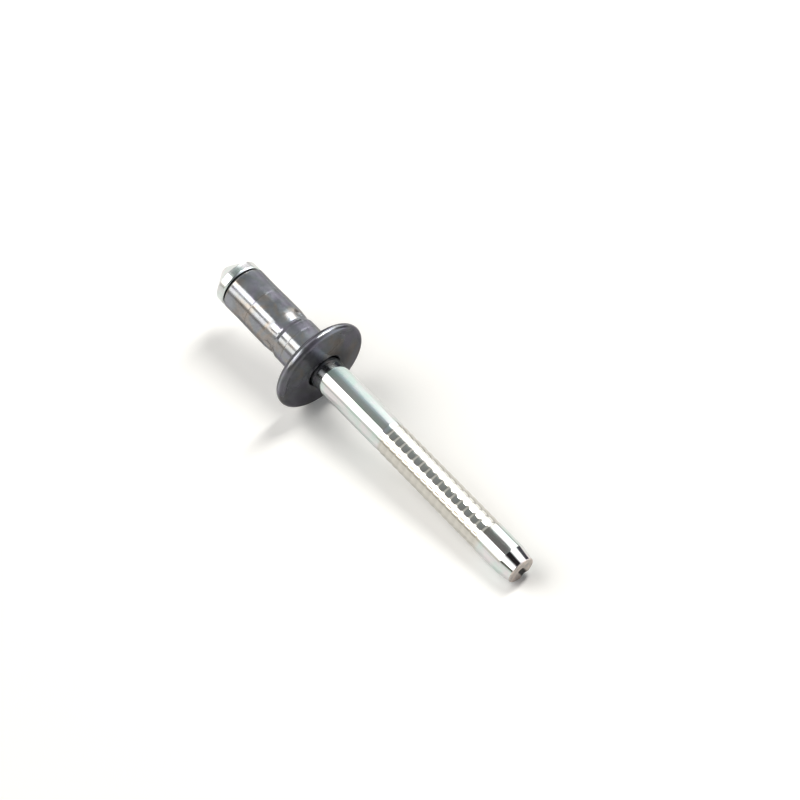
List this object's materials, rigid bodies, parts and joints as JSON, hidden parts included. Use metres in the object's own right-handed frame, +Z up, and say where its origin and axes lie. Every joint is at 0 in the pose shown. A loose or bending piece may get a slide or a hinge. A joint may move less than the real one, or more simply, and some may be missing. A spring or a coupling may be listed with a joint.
{
  "type": "blind rivet",
  "caption": "Unset structural blind rivet lying at rest: a domed flange and hollow shank crimped on a mandrel with a coned head, a stem with pulling grooves and a tapered tail.",
  "frame": {"origin": "on the surface that the rivet lies on, under the middle of its length and width", "axes": "+X runs along the surface from the nose to the tail, +Z is up; the rivet's own middle line lies in the XZ plane and drops 7.1 degrees towards the tail"},
  "size_m": [0.0562, 0.0132, 0.0131],
  "materials": {
    "rivet_body": "satin zinc plate, dulled to dark grey",
    "mandrel": "bright zinc plate"
  },
  "bodies": {
    "root": {"rivet_body": "rivet_body", "mandrel": "mandrel"}
  },
  "joints": []
}
